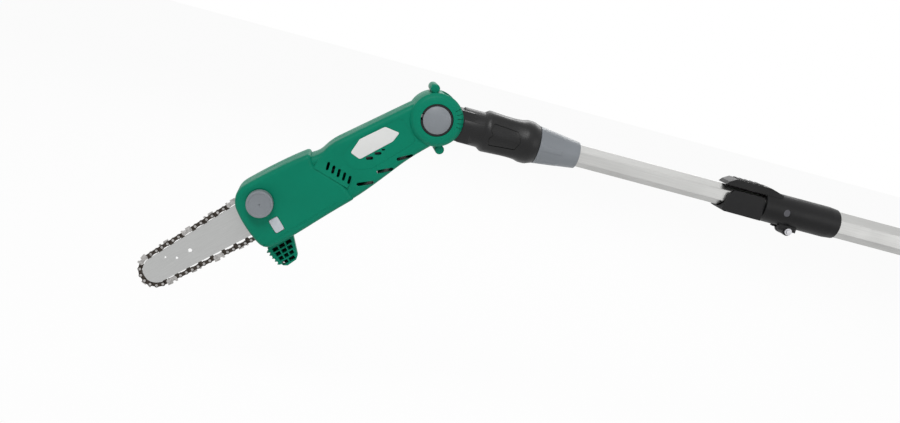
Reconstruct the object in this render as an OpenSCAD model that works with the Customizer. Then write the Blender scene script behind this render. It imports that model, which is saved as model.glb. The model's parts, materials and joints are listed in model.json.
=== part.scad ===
// Corded telescoping pole saw: a tilting chain saw head on a two-piece pole.
// The pole lies along X, the head points to -X, +Z is up and the origin is the
// centre of the rear grip. Pole pieces are drawn along X from the hinge, and
// head pieces are drawn straight along +u from the hinge, with v up, then bent.

/* [Hinge] */
// Distance from the rear grip's centre to the head hinge
hinge_to_grip = 1245; // [1200:1:1400]
// Bend of the head below the pole's line at rest
head_bend = 45; // [0:15:45]
// Outer radius of the hinge ring
ring_r = 37.5; // [36:0.5:42]
// Width of the hinge ring across both cheeks
ring_w = 60; // [56:1:70]
// Thickness of each hinge cheek
cheek_t = 6; // [4:0.5:8]
// Radius of the journal that turns in each cheek
journal_r = 22.72; // [20:0.01:24]
// Radius of the domed tilt button
button_r = 19.5; // [15:0.5:19.5]
// Travel of the tilt button
button_travel = 4; // [3:0.5:5]

/* [Head housing] */
// Wall of the moulded shells
wall = 2.6; // [2:0.1:3.2]
// Half width of the motor section
motor_half_w = 25; // [24.5:0.5:28]
// Half width of the oil tank section
tank_half_w = 29; // [28:0.5:32]
// Height on the head of the bar's centre line
bar_v = 6; // [4:1:8]
// Distance from the head's mid plane to the bar's mid plane
bar_y = 12; // [11.5:0.5:13]

/* [Bar and chain] */
// Distance from the hinge to the nose centre
nose_u = 457; // [420:1:520]
// Nose radius of the bar
nose_r = 19; // [16:0.5:21]
// Half height of the bar where it leaves the housing
belly_r = 25.3; // [23:0.1:26]
// Thickness of the bar
bar_t = 3.6; // [3:0.1:4]
// Chain pitch between neighbouring rivets, nominal
chain_pitch = 9.525; // [9:0.005:10]
// Height of the rivets above the bar's rail
rivet_rise = 4.2; // [4:0.1:5]
// Slack of the lower run
chain_slack = 2.5; // [1:0.5:3]

/* [Motor and drive] */
// Outer radius of the field core
field_r = 21; // [19:0.5:22]
// Radius of the armature core
armature_r = 13; // [11:0.5:13.5]
// Gear module of the crown gear pair
gear_module = 1.5; // [1.25:0.05:1.6]
// Teeth on the crown gear
gear_teeth = 32; // [28:4:32]
// Teeth on the motor pinion
pinion_teeth = 8; // [7:1:8]

/* [Oil system] */
// Radius of the oil filler cap
oil_cap_r = 19; // [16:0.5:20]
// Height of the cap outside the housing
oil_cap_h = 14; // [10:0.5:18]

/* [Neck and collar] */
// Radius of the neck behind the ring
neck_r = 25.5; // [24:0.5:27]
// Radius of the sleeve behind the neck
sleeve_r = 31; // [29:0.5:34]
// Distance from the hinge to the sleeve's end
sleeve_end = 148; // [140:1:170]
// Length of the lock collar
collar_l = 60; // [50:1:80]
// Large radius of the lock collar
collar_r1 = 27; // [26:0.5:30]
// Small radius of the lock collar
collar_r2 = 19; // [18.5:0.5:22]

/* [Telescoping tubes] */
// Width across flats of the hexagonal inner tube
inner_af = 28; // [26:0.5:28]
// Width across flats of the hexagonal outer tube
outer_af = 34; // [34:0.5:36]
// Wall of both tubes
tube_t = 1.6; // [1.2:0.1:1.8]
// Length of the inner tube
inner_l = 780; // [700:1:800]
// Inner tube left bare between collar and clamp at rest
bare_l = 216; // [205:1:240]
// Length of the outer tube
outer_l = 620; // [600:1:700]

/* [Clamp] */
// Length of the clamp's tongue over the inner tube
tongue_l = 62; // [50:1:75]
// Length of the clamp body behind the tongue
clamp_l = 113; // [100:1:140]
// Half height of the clamp body
clamp_r = 22.5; // [21:0.5:24]

/* [Grips and handle] */
// Length of the foam grip on the outer tube
foam_l = 150; // [100:1:200]
// Outer radius of the foam grip
foam_r = 24; // [21:0.5:28]
// Length of the rear handle
handle_l = 290; // [280:1:340]
// Half width of the rear handle
handle_half_w = 19; // [18:0.5:22]
// Radius of the eye for a shoulder strap
strap_eye_r = 6; // [4:0.5:8]

/* [Hidden] */
$fn = 64;
eps = 0.01;
clear = 0.4;      // free gap between pieces that move past each other
running = 0.08;   // radial gap of a turning fit
side_gap = 0.3;   // gap between pieces fixed side by side

green = "#00785f";
grey = "#82878f";
black = "#1d1e20";
bare_metal = "#c6c8ca";
steel = "#9fa2a6";
dark_steel = "#3b3531";

// ---------------------------------------------------------------- placing
module on_pole() translate([-hinge_to_grip, 0, 0]) children();
module on_head() on_pole() rotate([0, -head_bend, 0]) mirror([1, 0, 0]) children();
// A flat outline of length and height, from y0 to y1 across the saw
module slab(y0, y1) translate([0, y1, 0]) rotate([90, 0, 0]) linear_extrude(y1 - y0) children();
// A cylinder across the saw at a place on its side
module cross_rod(at, y0, y1, r) translate([at[0], y0, at[1]]) rotate([-90, 0, 0])
  cylinder(h = y1 - y0, r = r);
// A cylinder along the pole or the head
module long_rod(x0, x1, r, r2 = 0)
  translate([x0, 0, 0]) rotate([0, 90, 0]) cylinder(h = x1 - x0, r1 = r, r2 = r2 > 0 ? r2 : r);
// A hexagonal bar with softly rounded corners, corners up and down
module hex_bar(x0, x1, af, round_off = 0.97)
  translate([x0, 0, 0]) rotate([0, 90, 0]) intersection() {
    cylinder(h = x1 - x0, r = af / sqrt(3), $fn = 6);
    cylinder(h = x1 - x0, r = af / sqrt(3) * round_off);
  }
// A closed outline moved inwards by d, for corners listed anticlockwise
function inset(p, d) = [for (i = [0 : len(p) - 1]) let (
  a = p[(i + len(p) - 1) % len(p)],
  b = p[i],
  c = p[(i + 1) % len(p)],
  e = (b - a) / norm(b - a),
  f = (c - b) / norm(c - b),
  m = [-e[1], e[0]],
  n = [-f[1], f[0]])
  b + d / (1 + m * n) * (m + n)];

// ---------------------------------------------------------------- housing
head_front = 306;
cheek_in = ring_w / 2 - cheek_t;
ring_wall = 3.5;
motor_side = [[20, -27], [60, -29], [123, -37.5], [154, -40], [184, -40.4], [184, 45], [164, 38.5],
  [141, 43.7], [24, 35.4]];
tank_side = [[154, -40], [196, -40.5], [251, -43], [289, -42.5], [302, -34], [head_front, -6],
  [head_front, 18], [303, 39], [288, 54], [244, 53.5], [200, 50.5], [182, 48], [181, 34], [155, -14]];
neck_block = [60, 22];  // length and half height of the block between the cheeks
// the ring's opening stays clear of that block from straight to fully bent
opening_spare = asin(neck_block[1] / (ring_r - ring_wall)) + 2.5;
opening_from = 180 - opening_spare;
opening_to = 180 + head_bend + opening_spare;
boss_tabs = [[-20, 37.7], [17, -40]];
inner_screws = [[100, 33], [110, -28], [190, 38], [190, -32], [222, 43]];
tab_r = 6.5;
screw_r = 1.6;
screw_head_r = 3.2;
sprocket_at = [236, bar_v];
cap_at = [269.5, 22.5];
window_at = [266, -16.5];
window_size = [14, 21];
cover_from = 200;
floor_y = 5;
gear_pitch_r = gear_module * gear_teeth / 2;
pinion_pitch_r = gear_module * pinion_teeth / 2;
pinion_tip_r = pinion_pitch_r + 0.8 * gear_module;
pinion_u = [sprocket_at[0] - gear_pitch_r - 4, sprocket_at[0] - gear_pitch_r + 3];
shaft_r = 5;
bearing_r = 12;

// Steps that follow the rounded edge: inset of the outline, and how far out it reaches
function edge_steps(half_w) = [[0, half_w - 10], [3, half_w - 4], [7, half_w]];
module rounded_side(p, half_w) for (s = edge_steps(half_w)) slab(0, s[1]) polygon(inset(p, s[0]));
module rounded_room(p, half_w)
  for (s = edge_steps(half_w)) slab(-eps, s[1] - wall + 0.6) polygon(inset(p, s[0] + wall));

module ring_sector(from, to, r)
  polygon(concat([[0, 0]], [for (k = [0 : 4]) let (a = from + (to - from) * k / 4)
    [r * cos(a), r * sin(a)]]));

// One half of the hinge ring: its cheek, its wall and the screw tabs, drawn for y > 0
module ring_half() {
  difference() {
    union() {
      cross_rod([0, 0], 0, ring_w / 2 - 3.5, ring_r);
      translate([0, ring_w / 2 - 3.5, 0]) rotate([-90, 0, 0])
        cylinder(h = 3.5, r1 = ring_r, r2 = ring_r - 4.5);
      for (t = boss_tabs) cross_rod(t, 0, ring_w / 2 - 3.5, tab_r);
    }
    cross_rod([0, 0], -eps, cheek_in, ring_r - ring_wall);
    cross_rod([0, 0], -eps, ring_w, journal_r + running);
    slab(-eps, cheek_in) ring_sector(opening_from, opening_to, 80);
    for (t = boss_tabs) cross_rod(t, -eps, ring_w, screw_r);
    for (t = boss_tabs) cross_rod(t, cheek_in, ring_w, screw_head_r + 0.1);
  }
}

// The common half shell of the head, drawn for y > 0, with the tank section clipped at u_end
module head_half(u_end) {
  difference() {
    union() {
      rounded_side(motor_side, motor_half_w);
      intersection() {
        rounded_side(tank_side, tank_half_w);
        translate([0, -1, -100]) cube([u_end, 100, 200]);
      }
    }
    cross_rod([0, 0], -1, ring_w, ring_r - 1);
    difference() {
      union() {
        rounded_room(motor_side, motor_half_w);
        intersection() {
          rounded_room(tank_side, tank_half_w);
          translate([0, -1, -100]) cube([u_end - wall, 100, 200]);
        }
      }
      cross_rod([0, 0], -1, ring_w, ring_r + 1);
      for (s = inner_screws) if (s[0] < u_end) cross_rod(s, 0, ring_w, 4);
    }
    for (s = inner_screws) cross_rod(s, -1, motor_half_w - 6, screw_r);
  }
  ring_half();
}

// Slanted slot through the near side wall, between two points of its middle line
module slot_cut(a, b, w) let (d = b - a)
  translate([a[0], 0, a[1]]) rotate([0, -atan2(d[1], d[0]), 0]) translate([0, 12, -w / 2])
    cube([norm(d), 30, w]);

module vents() {
  for (k = [0 : 4]) slot_cut([164 - 4 * k, 25 - 8 * k], [159.5 - 4 * k, 17.5 - 8 * k], 4);
  for (k = [0 : 2]) slot_cut([123 - 31 * k, -33 + 3 * k], [140 - 31 * k, -24 + 2 * k], 3.4);
  for (k = [0 : 2]) slot_cut([84 + 12 * k, -1.5], [90 + 12 * k, 1.5], 3);
}

label_side = [[53.4, 10], [67, 4.1], [119.5, 5.4], [125.9, 19.7], [105.4, 29.9], [66.4, 27.3]];
label_t = 0.8;
module label_shape(gap = 0) polygon(inset(label_side, -gap));
module window_shape(gap = 0) translate(window_at)
  square([window_size[0] + 2 * gap, window_size[1] + 2 * gap], center = true);
cap_neck_r = 12;
lock_pin_at = 28.5;
lock_pin_r = 2.5;
lock_pin_deep = 3;
lock_pin_sweep = 14;  // the channel runs on past the pin at both tilt limits

module housing_left() color(green) on_head() mirror([0, 1, 0]) difference() {
  head_half(400);
  vents();
  slab(motor_half_w - label_t, motor_half_w + 1) label_shape(side_gap);
  slab(12, 40) window_shape(side_gap);
  cross_rod(cap_at, 12, 40, cap_neck_r + side_gap);
  // channel that the lock pin runs in while the head tilts
  intersection() {
    difference() {
      cross_rod([0, 0], cheek_in - 1, cheek_in + lock_pin_deep + 0.4, lock_pin_at + lock_pin_r + clear);
      cross_rod([0, 0], cheek_in - 2, cheek_in + lock_pin_deep + 1, lock_pin_at - lock_pin_r - clear);
    }
    slab(0, 40) ring_sector(-lock_pin_sweep, head_bend + lock_pin_sweep, 60);
  }
}

stud_u = [276, 296];
stud_r = 4;
bar_pad = [262, 303, -9, 21];
module housing_right() color(green) on_head() difference() {
  union() {
    head_half(cover_from);
    slab(0, floor_y) polygon([for (q = tank_side) [max(q[0], cover_from - wall), q[1]]]);
    slab(floor_y - eps, bar_y - bar_t / 2)
      translate([bar_pad[0], bar_pad[2]]) square([bar_pad[1] - bar_pad[0], bar_pad[3] - bar_pad[2]]);
    cross_rod(sprocket_at, -4, floor_y, bearing_r + 3);
  }
  intersection() {
    slab(-1, floor_y - wall) polygon(inset(tank_side, wall));
    difference() {
      translate([cover_from, -2, -100]) cube([200, 20, 200]);
      cross_rod(sprocket_at, -4, 20, bearing_r + 3);
      for (s = inner_screws) cross_rod(s, -4, 20, 4);
      for (u = stud_u) cross_rod([u, bar_v], -4, 20, stud_r + 3);
    }
  }
  translate([0, 0, bar_v]) long_rod(cover_from - wall - 1, pinion_u[1] + 2, pinion_tip_r + 0.8);
  cross_rod(sprocket_at, -5, floor_y - 1, bearing_r);
  cross_rod(sprocket_at, -5, 20, bearing_r - 3);
  cross_rod([222, 43], -1, 20, screw_r);
  cross_rod([222, 43], floor_y - 2, 20, screw_head_r + 0.1);
  for (s = inner_screws) if (s[0] < cover_from) cross_rod(s, -1, 40, screw_r);
  for (s = inner_screws) if (s[0] < cover_from) cross_rod(s, motor_half_w - 8, 40, screw_head_r + 0.1);
  for (u = stud_u) cross_rod([u, bar_v], 2, 20, stud_r);
}

module countersunk(at, y_head, length, head_h = 2) {
  cross_rod(at, y_head - length, y_head, screw_r - 0.05);
  cross_rod(at, y_head, y_head + head_h, screw_head_r);
}
module housing_screws() color(steel) on_head() {
  for (t = boss_tabs) countersunk(t, cheek_in, cheek_in + 14);
  for (s = inner_screws) if (s[0] < cover_from) countersunk(s, motor_half_w - 8, 26);
  countersunk([222, 43], floor_y - 2, 14);
}

// ---------------------------------------------------------------- cover and bar fixing
cover_side = [[cover_from + 0.5, -40.4], [251, -43], [289, -42.5], [302, -34], [head_front, -6],
  [head_front, 18], [303, 39], [288, 54], [244, 53.5], [cover_from + 0.5, 50.3]];
knob_at = [stud_u[0], bar_v];
cover_wall = 2.4;
tension_at = [-13, 18];  // height and depth of the tension screw's axis
tension_r = 2.5;
pin_r = 2;  // the tension pin's peg in the bar
module sprocket_cover() color(green) on_head() difference() {
  union() {
    difference() {
      rounded_side(cover_side, tank_half_w);
      slab(-1, floor_y + 0.2) square(1000, center = true);
      intersection() {
        rounded_room(cover_side, tank_half_w);
        translate([0, -1, -100]) cube([400, 60, 200]);
      }
    }
    slab(bar_y + bar_t / 2 + 0.1, tank_half_w - 1) translate([264, bar_v - 8]) square([39, 16]);
    slab(14.5, tank_half_w - 1) translate([258, tension_at[0] - 5]) square([4, 10]);
  }
  // mouth that the bar and the chain pass through
  translate([head_front - 12, 0, bar_v - 40]) cube([20, 18, 80]);
  for (u = stud_u) cross_rod([u, bar_v], 0, 60, stud_r + 0.2);
  translate([0, tension_at[1], tension_at[0]]) long_rod(250, 320, tension_r + 0.1);
}
knob_r = 17;
module cover_knob() color(black) on_head() difference() {
  union() {
    cross_rod(knob_at, tank_half_w + 0.3, tank_half_w + 5, knob_r);
    cross_rod(knob_at, tank_half_w + 5, tank_half_w + 14, knob_r - 2);
    for (k = [0 : 5]) cross_rod(knob_at + (knob_r - 3) * [cos(60 * k), sin(60 * k)], tank_half_w + 3,
      tank_half_w + 13, 3.5);
  }
  cross_rod(knob_at, 0, tank_half_w + 11, stud_r + running);
}
module bar_studs() color(steel) on_head() {
  cross_rod(knob_at, 2, tank_half_w + 10.5, stud_r);
  cross_rod([stud_u[1], bar_v], 2, 24, stud_r);
}

groove_deep = 6;
bar_tail = 260;
bar_slot = [270, 309];
// The bar's body between y0 and y1, shrunk by less along its edge
module bar_plate(y0, y1, less = 0) {
  edge = [[bar_tail + less, 17], [bar_tail + 16, belly_r - 2.2], [300, belly_r],
    [nose_u, nose_r - 0.15]];
  slab(y0, y1) polygon([for (q = edge) [q[0], bar_v + q[1] - less], for (k = [3 : -1 : 0])
    [edge[k][0], bar_v - edge[k][1] + less]]);
  cross_rod([nose_u, bar_v], y0, y1, nose_r - less);
}
module guide_bar() color(bare_metal) on_head() difference() {
  bar_plate(bar_y - bar_t / 2, bar_y + bar_t / 2);
  difference() {
    slab(bar_y - 0.8, bar_y + 0.8) translate([bar_tail - 5, -100]) square([400, 200]);
    bar_plate(bar_y - 1, bar_y + 1, groove_deep);
  }
  slab(0, 40) hull_slot(bar_slot[0], bar_slot[1], bar_v, stud_r + 0.15);
  cross_rod([287, tension_at[0]], 0, 40, pin_r + 0.1);
  cross_rod([399.8, bar_v], 0, 40, 3);
  cross_rod([422, bar_v], 0, 40, 2);
  cross_rod([435.7, bar_v + 9], 0, 40, 1.6);
}
module hull_slot(u0, u1, v, r) {
  translate([u0, v - r]) square([u1 - u0, 2 * r]);
  for (u = [u0, u1]) translate([u, v]) circle(r);
}
module tension_pin() color(steel) on_head() {
  difference() {
    translate([283, bar_y + bar_t / 2 + 0.2, tension_at[0] - 4]) cube([8, 9, 8]);
    translate([0, tension_at[1], tension_at[0]]) long_rod(250, 320, tension_r + running);
  }
  cross_rod([287, tension_at[0]], bar_y - bar_t / 2, bar_y + bar_t / 2 + 0.2, pin_r);
}
module tension_screw() color(steel) on_head() translate([0, tension_at[1], tension_at[0]]) {
  long_rod(256, head_front - 3, tension_r);
  difference() {
    long_rod(head_front - 3, head_front - 0.5, 2.4);
    translate([head_front - 1.5, -0.5, -4]) cube([4, 1, 8]);
  }
}

// ---------------------------------------------------------------- chain
// The chain's middle line wraps four circles: [centre u, centre v, radius]
sprocket_teeth = 8;
sprocket_pitch_r = chain_pitch / 2 / sin(90 / sprocket_teeth);
belly_turn = 60;
loop = [
  [sprocket_at[0], bar_v, sprocket_pitch_r],
  [300, bar_v - belly_r - rivet_rise - chain_slack + belly_turn, belly_turn],
  [nose_u, bar_v, nose_r + rivet_rise],
  [300, bar_v + belly_r + rivet_rise - belly_turn, belly_turn]];
function loop_at(i) = loop[(i + len(loop)) % len(loop)];
// Direction of the outside normal on the straight run from circle i to the next one
function run_normal(i) = let (a = loop_at(i), b = loop_at(i + 1), dx = b[0] - a[0], dy = b[1] - a[1])
  atan2(dy, dx) - acos((a[2] - b[2]) / norm([dx, dy]));
function wrap360(a) = a - 360 * floor(a / 360);
// Angle swept on circle i, between the run that reaches it and the run that leaves it
function arc_deg(i) = wrap360(run_normal(i) - run_normal(i - 1));
function arc_len(i) = arc_deg(i) * PI / 180 * loop_at(i)[2];
function run_len(i) = let (a = loop_at(i), b = loop_at(i + 1))
  sqrt(pow(b[0] - a[0], 2) + pow(b[1] - a[1], 2) - pow(b[2] - a[2], 2));
function sum_to(i) = i < 0 ? 0 : arc_len(i) + run_len(i) + sum_to(i - 1);
loop_len = sum_to(len(loop) - 1);
link_count = 2 * round(loop_len / chain_pitch / 2);
link_step = loop_len / link_count;
// Point [u, v] on the loop at distance s
function loop_point(s, i = 0) = let (t = s - sum_to(i - 1), c = loop_at(i))
  i >= len(loop) ? loop_point(s - loop_len)
  : t < arc_len(i) ? let (a = run_normal(i - 1) + t / c[2] * 180 / PI)
    [c[0] + c[2] * cos(a), c[1] + c[2] * sin(a)]
  : t < arc_len(i) + run_len(i) ? let (a = run_normal(i), r = t - arc_len(i))
    [c[0] + c[2] * cos(a) - r * sin(a), c[1] + c[2] * sin(a) + r * cos(a)]
  : loop_point(s, i + 1);
sprocket_mid = arc_len(0) / 2;
function rivet(k) = let (s = sprocket_mid + (k + 0.5) * link_step)
  loop_point(s - loop_len * floor(s / loop_len));

strap_r = 3.3;
strap_t = 1.5;
drive_t = 1.3;
tang_tip = 9.2;  // reach of a drive link below its rivets
chain_rivet_r = 1.9;
// Places a link drawn from the origin along +x, outside of the loop towards -y
module link_frame(k) let (a = rivet(k), b = rivet(k + 1), d = b - a)
  translate(a) rotate(atan2(d[1], d[0])) children();
module link_plate(l) difference() {
  union() {
    circle(strap_r, $fn = 24);
    translate([l, 0]) circle(strap_r, $fn = 24);
    translate([0, -strap_r * 0.8]) square([l, strap_r * 1.6]);
    children();
  }
  circle(chain_rivet_r, $fn = 20);
  translate([l, 0]) circle(chain_rivet_r, $fn = 20);
}
function chord(k) = norm(rivet(k + 1) - rivet(k));
module chain_drive_links() color(dark_steel) on_head()
  for (k = [0 : 2 : link_count - 1]) slab(bar_y - drive_t / 2, bar_y + drive_t / 2) link_frame(k) {
    link_plate(chord(k));
    polygon([[1.2, 2.2], [chord(k) - 1.2, 2.2], [chord(k) / 2 + 1.6, tang_tip - 0.6],
      [chord(k) / 2 - 0.6, tang_tip]]);
  }
function is_cutter(k, side) = (k - 1) % 4 == 0 && ((k - 1) / 4) % 2 == side;
module outer_plate(k, side) let (y = bar_y + (side == 0 ? -drive_t / 2 - strap_t : drive_t / 2))
  slab(y, y + strap_t) link_frame(k) children();
module chain_tie_straps() color(dark_steel) on_head()
  for (k = [1 : 2 : link_count - 1], side = [0, 1]) if (!is_cutter(k, side)) outer_plate(k, side)
    link_plate(chord(k));
module chain_cutters() color(steel) on_head()
  for (k = [1 : 2 : link_count - 1], side = [0, 1]) if (is_cutter(k, side)) {
    outer_plate(k, side) link_plate(chord(k))
      polygon([[-3, -1], [-3, -5.2], [-0.5, -5.2], [1.2, -2.6], [4, -2.6],
      [5, -5.6], [chord(k) + 3, -5.2], [chord(k) + 3, -1]]);
    slab(bar_y + (side == 0 ? -3.6 : drive_t / 2), bar_y + (side == 0 ? -drive_t / 2 : 3.6))
      link_frame(k)
      polygon([[5, -5.6], [chord(k) + 3, -5.2], [chord(k) + 3, -4.2], [5.2, -4.5]]);
  }
module chain_rivets() color(dark_steel) on_head()
  for (k = [0 : link_count - 1]) let (y = drive_t / 2 + strap_t + 0.5)
    cross_rod(rivet(k), bar_y - y, bar_y + y, chain_rivet_r, $fn = 20);
// The sprocket's teeth stop just inside the drive links' tips, so that it turns in the still chain
module drive_sprocket() color(steel) on_head() difference() {
  union() {
    cross_rod(sprocket_at, bar_y - 3, bar_y + 3, 10);
    slab(bar_y - 3, bar_y + 3) translate(sprocket_at) for (k = [0 : sprocket_teeth - 1])
      rotate(180 + k * 360 / sprocket_teeth) translate([0, -2])
        square([sprocket_pitch_r - tang_tip - 1.2, 4]);
  }
  cross_rod(sprocket_at, 0, 40, shaft_r);
}

// ---------------------------------------------------------------- drive train
face_y = -pinion_pitch_r;
module output_shaft() color(steel) on_head() {
  cross_rod(sprocket_at, -21, 20, shaft_r);
  cross_rod(sprocket_at, 15.1, 17, shaft_r + 3);
}
module output_gear() color(bare_metal) on_head() difference() {
  union() {
    cross_rod(sprocket_at, face_y - 6, face_y - 0.8 * gear_module - 0.2, gear_pitch_r + 2.5);
    for (k = [0 : gear_teeth - 1]) translate([sprocket_at[0], 0, sprocket_at[1]])
      rotate([0, (k + 0.5) * 360 / gear_teeth, 0]) translate([gear_pitch_r - 4, face_y - 1.6, -0.75])
        cube([6.4, 2.7, 1.5]);
  }
  cross_rod(sprocket_at, -30, 10, shaft_r);
}
module output_bearings() color(bare_metal) on_head() {
  for (y = [[-20.5, -14.5], [-3.5, floor_y - 1]]) difference() {
    cross_rod(sprocket_at, y[0], y[1], y[0] < -10 ? bearing_r - 1 : bearing_r);
    cross_rod(sprocket_at, y[0] - 1, y[1] + 1, shaft_r + 0.05);
  }
}
armature_shaft_r = 4;
module on_motor_axis() on_head() translate([0, 0, bar_v]) children();
module armature() color(dark_steel) on_motor_axis() {
  long_rod(52, pinion_u[1], armature_shaft_r);
  long_rod(84, 124, armature_r);
  long_rod(78.5, 84, armature_r - 2.5);
  long_rod(124, 130, armature_r - 2.5);
}
module commutator() color("#b87b4b") on_motor_axis() difference() {
  long_rod(65, 78, 9);
  long_rod(60, 80, armature_shaft_r);
}
module cooling_fan() color(black) on_motor_axis() difference() {
  union() {
    long_rod(138, 140.5, 18.5);
    long_rod(138, 150, 7);
    for (k = [0 : 8]) rotate([40 * k, 0, 0]) translate([138, -0.8, 6]) cube([11, 1.6, 12]);
  }
  long_rod(130, 160, armature_shaft_r);
}
module motor_pinion() color(steel) on_motor_axis() difference() {
  union() {
    long_rod(pinion_u[0] - 2, pinion_u[1], pinion_pitch_r - 1.1 * gear_module);
    for (k = [0 : pinion_teeth - 1]) rotate([k * 360 / pinion_teeth, 0, 0])
      translate([pinion_u[0], -pinion_tip_r, -0.65]) cube([pinion_u[1] - pinion_u[0], 4, 1.3]);
  }
  long_rod(pinion_u[0] - 5, pinion_u[1] + 1, armature_shaft_r);
}
module motor_bearings() color(bare_metal) on_motor_axis()
  for (b = [[53, 60, 11], [172, 180, 13]]) difference() {
    long_rod(b[0], b[1], b[2]);
    long_rod(b[0] - 1, b[1] + 1, armature_shaft_r + 0.05);
  }
module field_core() color(dark_steel) on_motor_axis() difference() {
  union() {
    long_rod(82, 126, field_r);
    for (s = [-1, 1]) translate([77, -8, s * 17 - 2.5]) cube([54, 16, 5]);
  }
  long_rod(70, 140, armature_r + 1);
}
module brush_gear() color("#a8813c") on_motor_axis() {
  for (s = [-1, 1]) mirror([0, s < 0 ? 1 : 0, 0]) translate([67.5, 9.2, -3.5]) cube([8, 12, 7]);
}

// ---------------------------------------------------------------- oil system
tank_from = 264;      // the tank starts here beside the crown gear
tank_back = 253;      // and reaches back to here outside of it
tank_clear_y = 14.5;
tank_t = 1.8;
module tank_form(less) for (step = edge_steps(tank_half_w)) slab(0.4 + less, step[1] - wall - less)
  polygon(inset(tank_side, step[0] + wall + 0.6 + less));
module tank_limits(less) {
  translate([tank_from + less, -1, -100]) cube([100, 100, 200]);
  translate([tank_back + less, tank_clear_y + less, -100]) cube([100, 100, 200]);
}
module oil_tank() color("#e8e6dd") on_head() mirror([0, 1, 0]) difference() {
  union() {
    intersection() {
      tank_form(0);
      tank_limits(0);
    }
    cross_rod(cap_at, tank_half_w - 8, tank_half_w + 3, cap_neck_r);
  }
  intersection() {
    tank_form(tank_t);
    tank_limits(tank_t);
  }
  cross_rod(cap_at, tank_half_w - 9, tank_half_w + 10, cap_neck_r - 2);
}
module oil_window() color("#f2f0e8") on_head() mirror([0, 1, 0])
  slab(tank_half_w - wall + 0.1, tank_half_w + 0.4) window_shape();
module oil_cap() color(grey) on_head() mirror([0, 1, 0]) difference() {
  union() {
    cross_rod(cap_at, tank_half_w + 0.4, tank_half_w + oil_cap_h - 1.5, oil_cap_r);
    translate([cap_at[0], tank_half_w + oil_cap_h - 1.5, cap_at[1]]) rotate([-90, 0, 0])
      cylinder(h = 1.5, r1 = oil_cap_r, r2 = oil_cap_r - 1.5);
  }
  cross_rod(cap_at, tank_half_w - 1, tank_half_w + 6, cap_neck_r + running);
}
pump_at = [248, -31];
module oil_pump() color(steel) on_head() difference() {
  translate([pump_at[0] - 8, -13, pump_at[1] - 6]) cube([14, 12, 11]);
  translate([pump_at[0], 0, pump_at[1]]) translate([0, -7, 0]) long_rod(2, 30, 2.5);
}
module oil_tube() color("#d9d4c4") on_head() translate([0, -7, pump_at[1]]) difference() {
  long_rod(pump_at[0] + 2, tank_from, 2.5);
  long_rod(pump_at[0] + 1, tank_from + 1, 1.5);
}

// ---------------------------------------------------------------- limb stop and label
stop_side = [[256.2, -43], [266.5, -74], [271, -78], [286, -79.4], [291, -76.4], [295.5, -69],
  [298.5, -57], [298, -43]];
stop_y = [-9, 3];
module limb_stop() color(green) on_head() difference() {
  union() {
    slab(stop_y[0], stop_y[1]) polygon(stop_side);
    for (k = [0 : 4]) slab(stop_y[0], stop_y[1])
      polygon([[297.5 - 0.7 * k, -46 - 5.6 * k], [302.5 - 1.1 * k, -48.6 - 5.6 * k],
        [297 - 0.7 * k, -51 - 5.6 * k]]);
  }
  for (r = [0 : 3], c = [0 : 2]) slab(-40, 40)
    let (u0 = 262 + 2.6 * r, u1 = 294.5 - 0.8 * r, n = r < 3 ? 3 : 2)
    if (c < n) translate([u0 + (u1 - u0) / n * c + 1, -53 - 7.7 * r]) square([(u1 - u0) / n - 2, 5.7]);
}
module label_plate() color("#f2f2f0") on_head() mirror([0, 1, 0])
  slab(motor_half_w - label_t, motor_half_w + 0.3) label_shape();

// ---------------------------------------------------------------- neck and hinge hub
hub_half_w = cheek_in - 0.6;
hub_r = ring_r - ring_wall - 1.5;
neck_from = ring_r + 0.6;
tube_from = 104;
lock_arm_y = 7.4;  // depth of the lock pin's arm below the hub's face
spigot_l = 30;
spigot_r = 21;
pocket_r = button_r + 0.4;
pocket_y = 8;
neck_screw_at = [[56, 17], [56, -17], [84, 22], [84, -22], [138, 22.5], [138, -22.5]];
module neck_outline() {
  cross_rod([0, 0], -hub_half_w, hub_half_w, hub_r);
  translate([0, -hub_half_w, -neck_block[1]]) cube([neck_block[0], 2 * hub_half_w, 2 * neck_block[1]]);
  long_rod(neck_from, 71, neck_r);
  long_rod(66, 72, neck_r, sleeve_r - 1);
  long_rod(72, 100, sleeve_r - 1, sleeve_r - 2);
  long_rod(100, 127, sleeve_r - 2, sleeve_r - 1.5);
  long_rod(127, sleeve_end - 9, sleeve_r);
  long_rod(sleeve_end - 9, sleeve_end, sleeve_r, collar_r1);
  long_rod(sleeve_end, sleeve_end + spigot_l, spigot_r);
  cross_rod([0, 0], -ring_w / 2 + 1, ring_w / 2 - 1, journal_r);
}
module neck_room() {
  cross_rod([0, 0], -ring_w, -pocket_y, pocket_r);
  cross_rod([0, 0], pocket_y, ring_w, pocket_r);
  cross_rod([0, 0], -pocket_y - 1, pocket_y + 1, 5.2);
  long_rod(24, tube_from + 1, 12);
  long_rod(78, tube_from - 4, 18);
  hex_bar(tube_from, sleeve_end + spigot_l + 1, inner_af + 0.1);
  // pocket that lets the lock pin's arm reach past the hub's rim
  translate([-lock_pin_at - 4, -ring_w, -5])
    cube([lock_pin_at, ring_w - hub_half_w + lock_arm_y + button_travel + 0.5, 10]);
  for (s = neck_screw_at) cross_rod(s, -12, 50, screw_r);
  for (s = neck_screw_at) cross_rod(s, 15, 50, screw_head_r + 0.1);
}
module neck_half(side) difference() {
  neck_outline();
  neck_room();
  translate([-100, side > 0 ? -100 : 0, -100]) cube([400, 100, 200]);
}
module neck_left() color(black) on_pole() neck_half(-1);
module neck_right() color(black) on_pole() neck_half(1);
module neck_screws() color(steel) on_pole() for (s = neck_screw_at) {
  cross_rod(s, -10, 15, screw_r - 0.05);
  cross_rod(s, 15, 17, screw_head_r);
}
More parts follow.
